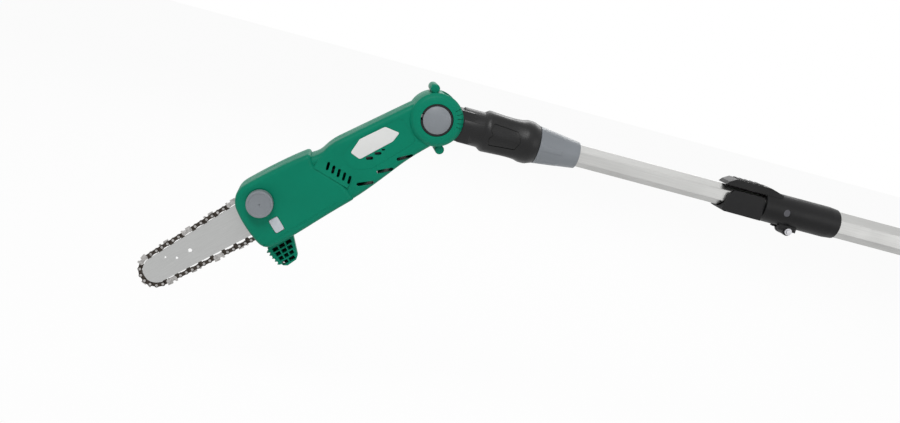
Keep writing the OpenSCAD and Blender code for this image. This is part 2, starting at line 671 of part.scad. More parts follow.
module hinge_cap() color(grey) on_pole() {
  cross_rod([0, 0], ring_w / 2 - 9, ring_w / 2 + 0.5, button_r);
  cross_rod([0, 0], pocket_y, ring_w / 2 - 9, 8);
}
dome_rise = 5;
module tilt_button() color(grey) on_pole() mirror([0, 1, 0]) {
  cross_rod([0, 0], ring_w / 2 - 7, ring_w / 2 - 0.5, button_r);
  intersection() {
    translate([0, ring_w / 2 - 0.5 + dome_rise - 45, 0]) sphere(45, $fn = 96);
    cross_rod([0, 0], ring_w / 2 - 0.5, ring_w, button_r);
  }
  cross_rod([0, 0], button_travel + 0.5 - pocket_y, ring_w / 2 - 7, 5);
}
module tilt_lock_pin() color(steel) on_pole() mirror([0, 1, 0]) {
  cross_rod([-lock_pin_at, 0], hub_half_w - 4, cheek_in + lock_pin_deep, lock_pin_r);
  translate([-lock_pin_at - 2.5, hub_half_w - lock_arm_y, -2.5]) cube([lock_pin_at - 12, 3.4, 5]);
}
spring_wire = 1.4;
module tilt_spring() color(steel) on_pole() mirror([0, 1, 0]) difference() {
  cross_rod([0, 0], pocket_y, ring_w / 2 - 7.2, 9);
  cross_rod([0, 0], pocket_y - 1, ring_w / 2, 9 - spring_wire);
}

// ---------------------------------------------------------------- collar and inner tube
collar_from = sleeve_end + 1;
collar_to = collar_from + collar_l;
module lock_collar() color(grey) on_pole() difference() {
  union() {
    long_rod(collar_from, collar_to, collar_r1, collar_r2);
    for (k = [0 : 5]) rotate([60 * k + 30, 0, 0]) translate([collar_from + 3, -3.5, 18])
      rotate([0, 6, 0]) cube([26, 7, 8.2]);
  }
  long_rod(collar_from - 1, collar_from + spigot_l + 1, spigot_r + running);
  long_rod(collar_from, collar_to + 1, inner_af / sqrt(3) * 0.97 + 0.5);
}
inner_end = tube_from + inner_l;
module inner_tube() color(bare_metal) on_pole() difference() {
  hex_bar(tube_from, inner_end, inner_af);
  hex_bar(tube_from - 1, inner_end + 1, inner_af - 2 * tube_t);
}
lead_r = 3.6;
bush_af = outer_af - 2 * tube_t - 0.6;
module inner_tube_bush() color(black) on_pole() difference() {
  union() {
    hex_bar(inner_end, inner_end + 12, bush_af);
    hex_bar(inner_end - 14, inner_end, inner_af - 2 * tube_t - 0.1);
  }
  long_rod(inner_end - 20, inner_end + 20, lead_r + 0.2);
}
module inner_lead() color(black) on_pole() long_rod(30, inner_end + 12, lead_r);

// ---------------------------------------------------------------- clamp and outer tube
clamp_from = collar_to + bare_l;
body_from = clamp_from + tongue_l;
body_to = body_from + clamp_l;
tube_seat = body_from + 60;
tube_corner = inner_af / sqrt(3) * 0.97;
pivot_at = [body_from + 45.6, -26.3];
bolt_r = 3;
arm_half_w = 6;
ear_t = 6;
module outer_tube() color(bare_metal) on_pole() difference() {
  hex_bar(tube_seat, tube_seat + outer_l, outer_af);
  hex_bar(tube_seat - 1, tube_seat + outer_l + 1, outer_af - 2 * tube_t);
}
module clamp_body() color(black) on_pole() difference() {
  union() {
    long_rod(body_from, body_to - 12, clamp_r);
    long_rod(body_to - 12, body_to, clamp_r, clamp_r - 1.2);
    slab(-14, 14) polygon([[clamp_from, 17], [body_from + 24, 17], [body_from + 24, 22],
      [body_from + 4, 27.5],
      [clamp_from + 13, 27.5], [clamp_from + 4, 22]]);
    for (k = [0 : 4]) slab(-11, 11) translate([clamp_from + 18 + 8 * k, 27]) square([4, 1.6]);
    for (s = [-1, 1]) slab(s > 0 ? arm_half_w + 0.4 : -arm_half_w - 0.4 - ear_t,
      s > 0 ? arm_half_w + 0.4 + ear_t : -arm_half_w - 0.4) {
      translate(pivot_at) circle(6.7);
      translate([pivot_at[0] - 14, pivot_at[1]]) square([26, 12]);
    }
  }
  long_rod(body_from - 1, tube_seat, tube_corner + 0.7);
  long_rod(clamp_from - 1, body_from + 1, tube_corner + 0.6);
  hex_bar(tube_seat, body_to + 1, outer_af + 0.1);
  // slot for the lever's arm
  translate([body_from - 1, -arm_half_w - 0.4, -60]) cube([60, 2 * arm_half_w + 0.8, 50]);
  cross_rod(pivot_at, -40, 40, bolt_r + 0.05);
  cross_rod([body_from + 32, 0], -40, 0, 2);
  cross_rod([body_from + 32, 0], -40, -19.8, 5.1);
}
module clamp_lever() color(black) on_pole() difference() {
  union() {
    slab(-19, 19) polygon([[clamp_from + 2, -19], [clamp_from + 6, -20.4], [body_from - 1, -20.8],
      [body_from - 0.5, 4], [body_from - 4, 12],
      [clamp_from + 12, 12], [clamp_from + 6, 4]]);
    slab(-arm_half_w, arm_half_w) translate([body_from - 8, -22])
      square([pivot_at[0] - body_from + 8, 4.6]);
    cross_rod(pivot_at, -arm_half_w, arm_half_w, 6.4);
  }
  translate([clamp_from - 1, -15.5, -10]) cube([tongue_l + 2, 31, 40]);
  long_rod(clamp_from - 1, pivot_at[0] + 20, tube_corner + 0.9);
  cross_rod(pivot_at, -40, 40, bolt_r + 0.06);
}
module clamp_bolt() color(bare_metal) on_pole() {
  cross_rod(pivot_at, -18, 17, bolt_r);
  cross_rod(pivot_at, -arm_half_w - ear_t - 4.4, -arm_half_w - ear_t - 0.4, 5);
  difference() {
    translate([pivot_at[0], 12.6, pivot_at[1]]) rotate([-90, 0, 0]) cylinder(h = 4, r = 5.6, $fn = 6);
    cross_rod(pivot_at, 0, 30, bolt_r);
  }
}
module clamp_screw() color(dark_steel) on_pole() {
  cross_rod([body_from + 32, 0], -21.6, -19.8, 5);
  cross_rod([body_from + 32, 0], -19.8, -tube_corner - 0.9, 1.95);
}
foam_from = body_to + 150;
module foam_grip() color("#2a2b2d") on_pole() difference() {
  long_rod(foam_from, foam_from + foam_l, foam_r);
  hex_bar(foam_from - 1, foam_from + foam_l + 1, outer_af + 0.1);
}
strap_u = foam_from + foam_l + 80;
strap_eye_at = [strap_u + 10, 36];
module strap_ring() color(black) on_pole() difference() {
  union() {
    long_rod(strap_u, strap_u + 20, 24);
    cross_rod(strap_eye_at, -6, 6, strap_eye_r + 5);
    translate([strap_u, -6, 0]) cube([20, 12, 36]);
  }
  hex_bar(strap_u - 1, strap_u + 21, outer_af + 0.1);
  cross_rod(strap_eye_at, -20, 20, strap_eye_r);
}

// ---------------------------------------------------------------- rear handle
handle_from = tube_seat + outer_l - 60;
handle_k = handle_l / 290;
handle_side = [for (q = [[0, -23.5], [44, -25], [70, -21.5], [86, -28], [97, -29], [108, -21],
  [150, -19], [214, -21], [240, -34],
  [268, -38], [286, -28], [290, -6], [286, 18], [262, 27], [216, 20.5], [140, 19], [84, 20.5],
    [44, 26], [0, 24]]) [handle_from + q[0] * handle_k, q[1]]];
function handle_steps() = [[0, handle_half_w - 8], [2.4, handle_half_w - 3], [5.5, handle_half_w]];
handle_wall = 2.4;
trigger_u = handle_from + 110 * handle_k;
lock_off_at = handle_from + 72 * handle_k;
inlet_from = handle_from + 266 * handle_k;
inlet_v = -6;
handle_screw_at = [[handle_from + 28, 21], [handle_from + 28, -21], [handle_from + 205 * handle_k, 12],
  [handle_from + 250 * handle_k, -29]];
module handle_shell() difference() {
  union() {
    for (s = handle_steps()) slab(-s[1], s[1]) polygon(inset(handle_side, s[0]));
    long_rod(handle_from, handle_from + 46, 25.5);
  }
  difference() {
    for (s = handle_steps()) slab(-s[1] + handle_wall, s[1] - handle_wall)
      polygon(inset(handle_side, s[0] + handle_wall));
    translate([handle_from - 1, -40, -40]) cube([64, 80, 80]);
    for (q = handle_screw_at) cross_rod(q, -40, 40, 4);
  }
  hex_bar(handle_from - 1, handle_from + 60.3, outer_af + 0.1);
  long_rod(handle_from + 60, handle_from + 70, 11.3);
  for (q = handle_screw_at) cross_rod(q, -11, 40, screw_r);
  for (q = handle_screw_at) cross_rod(q, 13, 40, screw_head_r + 0.1);
  // trigger slot, lock-off hole and inlet mouth
  translate([trigger_u - 1, -6.4, -40]) cube([47, 12.8, 34]);
  translate([lock_off_at, 0, 0]) cylinder(h = 40, r = 6 + side_gap);
  translate([0, 0, inlet_v]) long_rod(inlet_from, inlet_from + 60, 14.6);
}
module handle_half(side) difference() {
  handle_shell();
  translate([0, side > 0 ? -100 : 0, -100]) cube([4000, 100, 200]);
}
module handle_left() color(black) on_pole() handle_half(-1);
module handle_right() color(black) on_pole() handle_half(1);
module handle_screws() color(steel) on_pole() for (q = handle_screw_at) {
  cross_rod(q, -10, 13, screw_r - 0.05);
  cross_rod(q, 13, 15, screw_head_r);
}
trigger_pivot = [trigger_u + 4, -11];
module trigger() color(grey) on_pole() difference() {
  slab(-6, 6) polygon([[trigger_u, -8], [trigger_u + 8, -8], [trigger_u + 43, -12.5],
    [trigger_u + 45, -17], [trigger_u + 41, -24],
    [trigger_u + 26, -26], [trigger_u + 10, -23.5], [trigger_u, -15]]);
  cross_rod(trigger_pivot, -40, 40, 2);
}
module trigger_spring() color(steel) on_pole() translate([trigger_u + 30, 0, -10.4]) difference() {
  cylinder(h = 5.8, r = 3.5);
  translate([0, 0, -1]) cylinder(h = 8, r = 2.6);
}
module lock_off_button() color(grey) on_pole() translate([lock_off_at, 0, 0]) {
  translate([0, 0, 13]) cylinder(h = 12, r = 6);
  translate([0, 0, 9]) cylinder(h = 4, r = 3);
}
module switch() color("#34363a") on_pole() {
  translate([trigger_u + 12, -9, -4.6]) cube([34, 18, 16]);
}
module cord_inlet() color("#111111") on_pole() translate([0, 0, inlet_v]) difference() {
  long_rod(inlet_from, inlet_from + 25 * handle_k, 14.5);
  long_rod(inlet_from + 4, inlet_from + 40, 12.6);
}
module inlet_blades() color("#c9a54a") on_pole() translate([inlet_from + 4, 0, inlet_v])
  for (s = [-1, 1]) translate([0, s * 6.3 - 0.75, -3.2]) cube([17, 1.5, 6.4]);
module coiled_lead() color(black) on_pole() difference() {
  long_rod(inner_end + 12.3, handle_from + 66, 11);
  long_rod(inner_end + 11, handle_from + 68, 5.5);
}

housing_left();
housing_right();
housing_screws();
sprocket_cover();
cover_knob();
bar_studs();
guide_bar();
tension_pin();
tension_screw();
chain_drive_links();
chain_tie_straps();
chain_cutters();
chain_rivets();
drive_sprocket();
output_shaft();
output_gear();
output_bearings();
armature();
commutator();
cooling_fan();
motor_pinion();
motor_bearings();
field_core();
brush_gear();
oil_tank();
oil_window();
oil_cap();
oil_pump();
oil_tube();
limb_stop();
label_plate();
neck_left();
neck_right();
neck_screws();
hinge_cap();
tilt_button();
tilt_lock_pin();
tilt_spring();
lock_collar();
inner_tube();
inner_tube_bush();
inner_lead();
outer_tube();
clamp_body();
clamp_lever();
clamp_bolt();
clamp_screw();
foam_grip();
strap_ring();
handle_left();
handle_right();
handle_screws();
trigger();
trigger_spring();
lock_off_button();
switch();
cord_inlet();
inlet_blades();
coiled_lead();
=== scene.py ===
import json
import math

import bmesh
import bpy
import numpy as np
from mathutils import Matrix, Vector


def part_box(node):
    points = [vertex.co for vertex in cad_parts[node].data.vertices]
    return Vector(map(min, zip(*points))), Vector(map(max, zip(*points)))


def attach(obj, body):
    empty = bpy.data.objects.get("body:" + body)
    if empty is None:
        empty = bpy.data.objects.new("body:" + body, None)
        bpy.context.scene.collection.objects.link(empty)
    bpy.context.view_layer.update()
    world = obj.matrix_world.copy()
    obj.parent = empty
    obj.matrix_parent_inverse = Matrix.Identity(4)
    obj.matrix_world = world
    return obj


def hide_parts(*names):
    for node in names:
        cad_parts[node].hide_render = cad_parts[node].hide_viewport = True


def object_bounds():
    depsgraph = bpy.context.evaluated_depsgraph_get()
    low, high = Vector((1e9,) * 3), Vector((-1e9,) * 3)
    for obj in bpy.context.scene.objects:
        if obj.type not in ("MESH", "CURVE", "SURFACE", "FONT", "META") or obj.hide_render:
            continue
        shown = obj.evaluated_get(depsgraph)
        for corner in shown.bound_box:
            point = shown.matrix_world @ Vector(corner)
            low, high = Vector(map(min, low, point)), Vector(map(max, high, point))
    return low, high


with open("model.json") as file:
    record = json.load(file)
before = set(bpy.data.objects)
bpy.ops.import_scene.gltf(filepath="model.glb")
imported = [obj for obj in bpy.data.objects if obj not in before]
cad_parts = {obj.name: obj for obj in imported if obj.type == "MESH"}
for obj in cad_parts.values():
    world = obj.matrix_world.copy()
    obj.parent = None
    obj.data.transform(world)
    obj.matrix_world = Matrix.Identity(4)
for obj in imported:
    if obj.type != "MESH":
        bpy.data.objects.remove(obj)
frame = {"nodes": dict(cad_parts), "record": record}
cad_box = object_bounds()
joints = {j["name"]: j for j in frame["record"]["behaviour"]["joints"]}
MM = 0.001

# ------------------------------------------------------------ studio, camera
# The saw is held in the air over a pale floor, in soft light from both sides.
# The camera stands level with the hinge, a little to the left of the pole.
scene = bpy.context.scene
scene.view_settings.view_transform = "Standard"


def aim(obj, at, towards, roll=0.0):
    """Puts obj at a place, looking along its own -Z at another, turned about that line by roll."""
    look = (Vector(towards) - Vector(at)).to_track_quat("-Z", "Y").to_matrix().to_4x4()
    obj.matrix_world = Matrix.Translation(at) @ look @ Matrix.Rotation(roll, 4, "Z")


def look_from(target, azimuth, elevation, distance):
    """The point at a distance from target, seen along +Y at azimuth 0."""
    flat = math.cos(elevation)
    back = Vector((-math.sin(azimuth) * flat, -math.cos(azimuth) * flat, math.sin(elevation)))
    return Vector(target) + distance * back


hinge = Vector(joints["head_tilt"]["pos_m"])
camera_data = bpy.data.cameras.new("camera")
camera_data.lens = 37.3
camera_data.shift_x = 0.1
camera_data.shift_y = -0.1
camera = bpy.data.objects.new("camera", camera_data)
scene.collection.objects.link(camera)
scene.camera = camera
camera_target = hinge + Vector((-0.1003, 0, -0.0328))
AZIMUTH, ELEVATION, ROLL, DISTANCE = 0.0623, 0.1311, 0.2677, 1.3116
camera_spot = look_from(camera_target, AZIMUTH, ELEVATION, DISTANCE)
aim(camera, camera_spot, camera_target, roll=ROLL)


def area_light(name, at, towards, size, power):
    light = bpy.data.lights.new(name, "AREA")
    light.shape = "RECTANGLE"
    light.size, light.size_y = size
    light.energy = power
    obj = bpy.data.objects.new(name, light)
    scene.collection.objects.link(obj)
    aim(obj, at, towards)


mid = Vector(((cad_box[0][0] + cad_box[1][0]) / 2, 0, -0.1))
area_light("key", mid + Vector((-1.2, -1.6, 1.9)), mid, (1.6, 1.0), 36)
area_light("fill", mid + Vector((1.4, -1.8, 0.5)), mid, (1.6, 1.2), 9)
area_light("back", mid + Vector((0.2, 1.9, 1.5)), mid, (2.0, 1.0), 22)


def new_material(name):
    """A material with an empty node tree: returns it, its nodes, its links and its shader."""
    mat = bpy.data.materials.new(name)
    mat.use_nodes = True
    nodes, links = mat.node_tree.nodes, mat.node_tree.links
    return mat, nodes, links, nodes["Principled BSDF"]


def seen_directly(nodes, links):
    """One where a ray comes from the camera, or by mirror or through glass, else nought."""
    path = nodes.new("ShaderNodeLightPath")
    total = path.outputs["Is Camera Ray"]
    for other in ("Is Glossy Ray", "Is Transmission Ray"):
        add = nodes.new("ShaderNodeMath")
        add.operation = "MAXIMUM"
        links.new(total, add.inputs[0])
        links.new(path.outputs[other], add.inputs[1])
        total = add.outputs[0]
    return total


world = bpy.data.worlds.new("studio")
scene.world = world
world.use_nodes = True
world_nodes, world_links = world.node_tree.nodes, world.node_tree.links
ambient = world_nodes["Background"]
ambient.inputs["Color"].default_value = (1, 1, 1, 1)
ambient.inputs["Strength"].default_value = 0.36
white = world_nodes.new("ShaderNodeBackground")
white.inputs["Color"].default_value = (1, 1, 1, 1)
white.inputs["Strength"].default_value = 1.0
world_mix = world_nodes.new("ShaderNodeMixShader")
world_links.new(seen_directly(world_nodes, world_links), world_mix.inputs[0])
world_links.new(ambient.outputs[0], world_mix.inputs[1])
world_links.new(white.outputs[0], world_mix.inputs[2])
world_links.new(world_mix.outputs[0], world_nodes["World Output"].inputs[0])

FLOOR_DROP, FLOOR_HALF, GLOW_SHARE = 0.12, 9, 0.94
floor_z = cad_box[0][2] - FLOOR_DROP
floor_mesh = bpy.data.meshes.new("floor")
floor_corners = [(x * FLOOR_HALF, y * FLOOR_HALF, floor_z)
                 for x, y in ((-1, -1), (1, -1), (1, 1), (-1, 1))]
floor_mesh.from_pydata(floor_corners, [], [(0, 1, 2, 3)])
floor = bpy.data.objects.new("floor", floor_mesh)
scene.collection.objects.link(floor)
floor_mat, nodes, links, shader = new_material("floor_white")
shader.inputs["Base Color"].default_value = (0.86, 0.86, 0.86, 1)
shader.inputs["Roughness"].default_value = 0.9
glow = nodes.new("ShaderNodeEmission")
glow.inputs["Strength"].default_value = 1.0
share = nodes.new("ShaderNodeMath")
share.operation = "MULTIPLY"
share.inputs[1].default_value = GLOW_SHARE
links.new(seen_directly(nodes, links), share.inputs[0])
floor_mix = nodes.new("ShaderNodeMixShader")
links.new(share.outputs[0], floor_mix.inputs[0])
links.new(shader.outputs[0], floor_mix.inputs[1])
links.new(glow.outputs[0], floor_mix.inputs[2])
links.new(floor_mix.outputs[0], nodes["Material Output"].inputs[0])
floor_mesh.materials.append(floor_mat)

# ------------------------------------------------------------ green housing
# The head's two moulded nylon shells meet on its middle plane. Each has a
# narrow motor section, a wider oil tank section and one cheek of the hinge.


def noise_height(nodes, links, scale, detail):
    """Noise on Object coordinates, its cells 1 / scale metres across."""
    coords = nodes.new("ShaderNodeTexCoord")
    noise = nodes.new("ShaderNodeTexNoise")
    noise.inputs["Scale"].default_value = scale
    noise.inputs["Detail"].default_value = detail
    links.new(coords.outputs["Object"], noise.inputs["Vector"])
    return noise.outputs["Fac"]


def ramp(nodes, links, fac, low, high, start=0.3, end=0.7):
    """A blend between two colours or grey values, driven by a factor."""
    band = nodes.new("ShaderNodeValToRGB")
    band.color_ramp.elements[0].position = start
    band.color_ramp.elements[1].position = end
    for element, value in zip(band.color_ramp.elements, (low, high)):
        element.color = tuple(value) + (1,) if hasattr(value, "__len__") else (value, value, value, 1)
    links.new(fac, band.inputs[0])
    return band.outputs[0]


def moulded_plastic(name, colour, roughness, grain, grain_size=0.00045, worn=0.06, gloss=0.25):
    """Moulded plastic: an etched grain as bump, soft colour drift, roughness that varies with wear."""
    mat, nodes, links, shader = new_material(name)
    drift = noise_height(nodes, links, 14, 4)
    dark = [c * (1 - worn) for c in colour]
    light = [min(1, c * (1 + worn)) for c in colour]
    links.new(ramp(nodes, links, drift, dark, light), shader.inputs["Base Color"])
    smudge = noise_height(nodes, links, 45, 5)
    rough = ramp(nodes, links, smudge, roughness - 0.05, roughness + 0.07)
    links.new(rough, shader.inputs["Roughness"])
    bump = nodes.new("ShaderNodeBump")
    bump.inputs["Strength"].default_value = grain
    bump.inputs["Distance"].default_value = 0.0002
    links.new(noise_height(nodes, links, 1 / grain_size, 2), bump.inputs["Height"])
    links.new(bump.outputs[0], shader.inputs["Normal"])
    shader.inputs["Specular IOR Level"].default_value = gloss
    return mat


GREEN = (0.0004, 0.2, 0.118)
green = moulded_plastic("green_nylon", GREEN, 0.44, 0.16, gloss=0.12)
BEND = math.sqrt(0.5)


def head_point(u, y, v):
    """Row frame place of a point u along the head, y across it and v above it, in millimetres."""
    u, y, v = np.broadcast_arrays(np.asarray(u, float), y, v)
    out = np.stack([-(u + v) * BEND, y, (v - u) * BEND], axis=-1) * MM
    return out + np.array(hinge)


def grid_solid(rings):
    """A closed solid from an array of ring, point, 3: quads between the rings, a flat face at each
    end."""
    count, size = rings.shape[:2]
    i, j = np.meshgrid(np.arange(count - 1), np.arange(size), indexing="ij")
    k = (j + 1) % size
    near, far = i * size, (i + 1) * size
    quads = np.stack([near + j, near + k, far + k, far + j], axis=-1).reshape(-1, 4)
    faces = quads.tolist() + [list(range(size))[::-1], list(range((count - 1) * size, count * size))]
    mesh = bpy.data.meshes.new("solid")
    mesh.from_pydata(rings.reshape(-1, 3).tolist(), [], faces)
    tool = bmesh.new()
    tool.from_mesh(mesh)
    bmesh.ops.remove_doubles(tool, verts=tool.verts, dist=1e-6)
    bmesh.ops.recalc_face_normals(tool, faces=tool.faces)
    tool.to_mesh(mesh)
    tool.free()
    return mesh


def rounded_outline(corners, radius, steps=7):
    """Each corner of a closed outline becomes a quadratic curve that starts and ends radius away from it,
    or less on short sides."""
    p = np.asarray(corners, float)
    r = np.broadcast_to(np.asarray(radius, float), len(p))
    before, after = np.roll(p, 1, 0) - p, np.roll(p, -1, 0) - p
    la, lb = np.linalg.norm(before, axis=1), np.linalg.norm(after, axis=1)
    a = p + before / la[:, None] * np.minimum(r, 0.48 * la)[:, None]
    b = p + after / lb[:, None] * np.minimum(r, 0.48 * lb)[:, None]
    t = np.linspace(0, 1, steps)[None, :, None]
    curve = (1 - t) ** 2 * a[:, None] + 2 * t * (1 - t) * p[:, None] + t**2 * b[:, None]
    return curve.reshape(-1, 2)


def inset_outline(p, d):
    """A closed anticlockwise outline moved inwards by d, each corner along its two edges' mean normal."""
    e = np.roll(p, -1, 0) - p
    e /= np.maximum(np.linalg.norm(e, axis=1), 1e-9)[:, None]
    normal = np.stack([-e[:, 1], e[:, 0]], axis=1)
    m = normal + np.roll(normal, 1, 0)
    m /= np.maximum(0.5 * np.sum(m * m, axis=1), 0.5)[:, None]
    return p + d * m


def pillow(corners, radii, y_in, y_out, edge, place, less=0.0, seam=0.5, arc=7):
    """A shell half as a solid: its outline runs straight out from the seam, then rolls over to the side
    face on a quarter circle of radius edge. Each ring is the corners moved inwards and rounded again."""
    turn = np.linspace(0, math.pi / 2, arc)
    way = 1 if y_out > y_in else -1
    inward = np.concatenate([[seam, 0], edge * (1 - np.cos(turn))])
    across = np.concatenate([[y_in, y_in + way * seam], y_out - way * edge * (1 - np.sin(turn))])
    radii = np.asarray(radii, float)
    rings = []
    for d, y in zip(inward, across):
        moved = inset_outline(np.asarray(corners, float), d + less)
        flat = rounded_outline(moved, np.maximum(radii - 0.6 * d, 0.6))
        rings.append(place(flat[:, 0], y, flat[:, 1]))
    return grid_solid(np.array(rings))


def lathe(profile, place, sides=96, swell=None):
    """A turned solid: profile rows are (distance along the axis, radius), place puts (along, a, b) in the
    row frame, and swell(along, angle) may add to the radius."""
    rows = np.asarray(profile, float)
    angle = np.linspace(0, 2 * math.pi, sides, endpoint=False)
    along, turn = np.meshgrid(rows[:, 0], angle, indexing="ij")
    radius = np.repeat(rows[:, 1:2], sides, 1)
    if swell:
        radius = radius + swell(along, turn)
    return grid_solid(place(along, radius * np.cos(turn), radius * np.sin(turn)))


def across_head(u0, v0):
    """Placing for a lathe whose axis runs across the head at u0, v0."""
    return lambda along, a, b: head_point(u0 + a, along, v0 + b)


def as_object(name, mesh):
    obj = bpy.data.objects.new(name, mesh)
    scene.collection.objects.link(obj)
    return obj


def carve(mesh, cuts=(), joins=()):
    """The mesh after solid unions and differences with other meshes, which are used up."""
    base = as_object("work", mesh)
    helpers = []
    for kind, group in (("UNION", joins), ("DIFFERENCE", cuts)):
        for other in group:
            tool = as_object("tool", other)
            helpers.append(tool)
            step = base.modifiers.new(kind, "BOOLEAN")
            step.operation = kind
            step.solver = "EXACT"
            step.object = tool
    result = bpy.data.meshes.new_from_object(base.evaluated_get(bpy.context.evaluated_depsgraph_get()))
    for obj in helpers + [base]:
        bpy.data.objects.remove(obj)
    return result


def piece(name, mesh, material, body, nodes=(), sharp=32):
    """A finished piece: smooth shaded up to an angle, riding on a body, standing for its CAD nodes."""
    mesh.name = name
    obj = as_object(name, mesh)
    mesh.materials.clear()
    mesh.materials.append(material)
    mesh.shade_smooth()
    mesh.set_sharp_from_angle(angle=math.radians(sharp))
    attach(obj, body)
    if nodes:
        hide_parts(*nodes)
    return obj


def prism(outline, y0, y1, place=head_point):
    """A straight prism across the saw between two depths."""
    flat = np.asarray(outline, float)
    return grid_solid(np.array([place(flat[:, 0], y, flat[:, 1]) for y in (y0, y1)]))


def slot_prism(a, b, width, y0, y1):
    """A round-ended slot between two points of the head's side."""
    a, b = np.asarray(a, float), np.asarray(b, float)
    along = (b - a) / np.linalg.norm(b - a)
    side = np.array([-along[1], along[0]])
    turn = np.linspace(-math.pi / 2, math.pi / 2, 7)[:, None]
    end = b + width / 2 * (np.cos(turn) * along + np.sin(turn) * side)
    start = a - width / 2 * (np.cos(turn) * along + np.sin(turn) * side)
    return prism(np.concatenate([end, start]), y0, y1)


MOTOR_SIDE = [(10, -29), (60, -29), (123, -37.5), (154, -40), (190, -40.4), (190, 45), (164, 38.5),
              (141, 43.7), (24, 35.4), (10, 34)]
TANK_SIDE = [(154, -40), (196, -40.5), (251, -43), (289, -42.5), (302, -34), (306, -6), (306, 18),
             (303, 39), (288, 54), (244, 53.5), (200, 50.5), (175, 47), (179, 31), (155, -14)]
MOTOR_R = [1, 20, 40, 20, 1, 1, 8, 12, 10, 1]
TANK_R = [4, 30, 30, 12, 12, 20, 20, 14, 14, 30, 24, 6, 5, 6]
RING_R, RING_HALF, CHEEK_IN = 37.5, 30.0, 24.0
HUB_ROOM_R, JOURNAL_HOLE_R = 34.0, 22.9
TABS = [(-20, 37.7), (17, -40)]
TAB_R = 6.5
OPENING = (180 - 42.8, 180 + 45 + 42.8)
WALL, SEAM_GAP = 2.6, 0.15
RING_PROFILE = [(0.2, RING_R - 0.4), (0.6, RING_R), (24.5, RING_R), (26, RING_R - 0.5),
                (29.4, RING_R - 4.6), (RING_HALF, RING_R - 5.6)]
TAB_PROFILE = [(0.2, TAB_R - 0.3), (0.5, TAB_R), (17.4, TAB_R), (18.6, TAB_R - 0.5), (19.3, TAB_R - 1.6)]


def ring_solids(way):
    """One side's cheek and wall of the ring, a turned solid with a broad bevel, and the screw tabs."""
    ring = lathe([(way * y, r) for y, r in RING_PROFILE], across_head(0, 0), 128)
    tabs = [lathe([(way * y, r) for y, r in TAB_PROFILE], across_head(u, v), 48) for u, v in TABS]
    return ring, tabs


def ring_room(way):
    """What a ring half leaves open: the hub's room, the journal's hole and the neck's swing."""
    hub = lathe([(-way, HUB_ROOM_R), (way * CHEEK_IN, HUB_ROOM_R)], across_head(0, 0), 96)
    hole = lathe([(-way, JOURNAL_HOLE_R), (way * 40, JOURNAL_HOLE_R)], across_head(0, 0), 96)
    turn = np.radians(np.linspace(*OPENING, 9))
    wedge = np.concatenate([[(0, 0)], np.stack([60 * np.cos(turn), 60 * np.sin(turn)], axis=1)])
    return [hub, hole, prism(wedge, -way, way * CHEEK_IN)]


VENT_FACE = [((159.6 - 4 * k, 22 - 8 * k), (165.4 - 4 * k, 16.4 - 8 * k)) for k in range(5)]
LOW_VENTS = [((121 - 33 * k, -32 + 2.6 * k), (139 - 33 * k, -24.5 + 1.5 * k)) for k in range(3)]
HIGH_VENTS = [((104.5, -1.6), (109.5, 1.2), 4.8), ((91, -1.6), (96, 1.2), 4.2),
              ((83.5, 0), (85.5, 1.1), 2.6)]
PANEL_SIDE = [(38, -13), (112, -15), (136, -3), (140, 22), (112, 33), (40, 28)]
STEP_LINE = [(178, 29), (152, -19)]
MOTOR_Y, TANK_Y, EDGE = 25.0, 29.0, 7.5


def step_ramp(way, out=13.0, back=3.0):
    """The sloped face between the tank's side and the motor's: a four-sided section carried along the
    step's line."""
    a, b = np.asarray(STEP_LINE, float)
    along = (b - a) / np.linalg.norm(b - a)
    outward = np.array([along[1], -along[0]])
    section = [(-back, TANK_Y - 0.05), (out, MOTOR_Y - 0.3), (out, 12), (-back, 12)]
    rings = []
    for end in (a, b):
        spots = np.array([end + outward * s for s, _ in section])
        rings.append(head_point(spots[:, 0], np.array([way * y for _, y in section]), spots[:, 1]))
    return grid_solid(np.array(rings))


def head_half(way):
    """One shell of the head before its own holes: motor section, tank section, ramp, ring and tabs,
    hollowed to the wall."""
    motor = pillow(MOTOR_SIDE, MOTOR_R, way * SEAM_GAP, way * MOTOR_Y, EDGE, head_point)
    panel = prism(rounded_outline(PANEL_SIDE, 9), way * (MOTOR_Y - 0.5), way * 40)
    tank = pillow(TANK_SIDE, TANK_R, way * SEAM_GAP, way * TANK_Y, EDGE, head_point)
    ring, tabs = ring_solids(way)
    room = ring_room(way)
    inner = dict(less=WALL, seam=0.0)
    for side, radii, half in ((MOTOR_SIDE, MOTOR_R, MOTOR_Y), (TANK_SIDE, TANK_R, TANK_Y)):
        room.append(pillow(side, radii, -way, way * (half - WALL), EDGE - 2, head_point, **inner))
    hub_wall = lathe([(way * y, RING_R - 0.5) for y in (SEAM_GAP, CHEEK_IN)], across_head(0, 0), 96)
    shell = carve(carve(motor, cuts=[panel]), joins=[tank, step_ramp(way)], cuts=room[3:])
    return carve(shell, joins=[ring, hub_wall] + tabs, cuts=room[:3])


